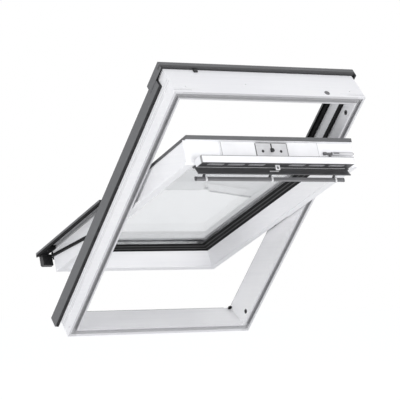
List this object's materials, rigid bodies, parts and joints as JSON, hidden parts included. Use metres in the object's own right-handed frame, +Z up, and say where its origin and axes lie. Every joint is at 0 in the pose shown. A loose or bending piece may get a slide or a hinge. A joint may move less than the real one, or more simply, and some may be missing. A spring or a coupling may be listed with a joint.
{
  "type": "roof window",
  "caption": "Centre-pivot roof window in its frame at roof pitch, with folded metal covers, a vent flap worked by a pull bar, a top latch and a barrel bolt.",
  "frame": {"origin": "middle of the sill's outer face at the bottom end of the frame", "axes": "+X to the right seen from the room, +Z up, -Y towards the room; the frame rises towards -Y at roof pitch"},
  "size_m": [0.803, 1.1449, 0.9451],
  "materials": {
    "white_frame": "white lacquer",
    "grey_cladding": "matt grey lacquer",
    "black_seal": "matt",
    "black_plastic": "matt",
    "hinge_steel": "zinc plated",
    "lock_metal": "satin",
    "glass": "clear",
    "spacer_metal": "satin",
    "white_plastic": "satin",
    "dark_plastic": "satin",
    "filter_foam": "open foam",
    "flap_grey": "satin anodised",
    "bar_grey": "satin anodised",
    "clip_light": "satin",
    "bolt_metal": "satin"
  },
  "bodies": {
    "frame": {"left_jamb": "white_frame", "right_jamb": "white_frame", "head": "white_frame", "sill": "white_frame", "left_side_cover": "grey_cladding", "right_side_cover": "grey_cladding", "left_upper_cover": "grey_cladding", "right_upper_cover": "grey_cladding", "top_hood": "grey_cladding", "hood_clip": "black_plastic", "lower_frame_cover": "grey_cladding", "side_cover_seals": "black_seal", "left_frame_gasket": "black_seal", "right_frame_gasket": "black_seal", "top_frame_gasket": "black_seal", "cover_seals": "black_seal", "sill_corner_seals": "black_seal", "left_hinge_plate": "hinge_steel", "right_hinge_plate": "hinge_steel", "hinge_screws": "hinge_steel", "bolt_bushes": "dark_plastic", "strike_plate": "hinge_steel"},
    "sash": {"left_stile": "white_frame", "right_stile": "white_frame", "top_rail": "white_frame", "bottom_rail": "white_frame", "sash_top_cover": "grey_cladding", "left_upper_sash_cover": "grey_cladding", "right_upper_sash_cover": "grey_cladding", "left_lower_sash_cover": "grey_cladding", "right_lower_sash_cover": "grey_cladding", "sash_bottom_cover": "grey_cladding", "sash_corner_caps": "black_plastic", "inner_pane": "glass", "outer_pane": "glass", "glass_spacer": "spacer_metal", "glazing_gasket": "black_seal", "outer_glazing_seal": "black_seal", "left_sash_gasket": "black_seal", "right_sash_gasket": "black_seal", "bottom_sash_gasket": "black_seal", "left_sash_hinge": "hinge_steel", "right_sash_hinge": "hinge_steel", "lock_case": "hinge_steel", "lock_panel": "white_plastic", "lock_plate": "lock_metal", "bolt_housing": "lock_metal", "vent_housing": "white_plastic", "vent_grille": "dark_plastic", "air_filter": "filter_foam", "flap_lugs": "flap_grey", "vent_catch": "clip_light"},
    "vent_flap_unit": {"vent_flap": "flap_grey", "catch_pad": "clip_light", "control_bar": "bar_grey", "bar_end_caps": "flap_grey", "bar_clips": "clip_light", "bar_posts": "flap_grey"},
    "latch": {"latch_tongue": "hinge_steel"},
    "bolt": {"barrel_bolt": "bolt_metal"}
  },
  "joints": [
    {"name": "sash_pivot", "type": "hinge", "parent": "frame", "child": "sash", "pos_m": [0, -0.36098, 0.46634], "axis": [1, 0, 0], "range_deg": [-26, 136.93]},
    {"name": "vent_flap_hinge", "type": "hinge", "parent": "sash", "child": "vent_flap_unit", "pos_m": [0, -0.86499, 0.53835], "axis": [1, 0, 0], "range_deg": [-25, 15]},
    {"name": "latch_slide", "type": "slide", "parent": "sash", "child": "latch", "axis": [0, -0.9455, 0.3256], "range_m": [-0.0067, 0.0111]},
    {"name": "barrel_bolt_slide", "type": "slide", "parent": "sash", "child": "bolt", "axis": [1, 0, 0], "range_m": [0, 0.024]}
  ],
  "couplings": [
    {"joint": "latch_slide", "follows": "vent_flap_hinge", "m_per_rad": -0.02521}
  ]
}
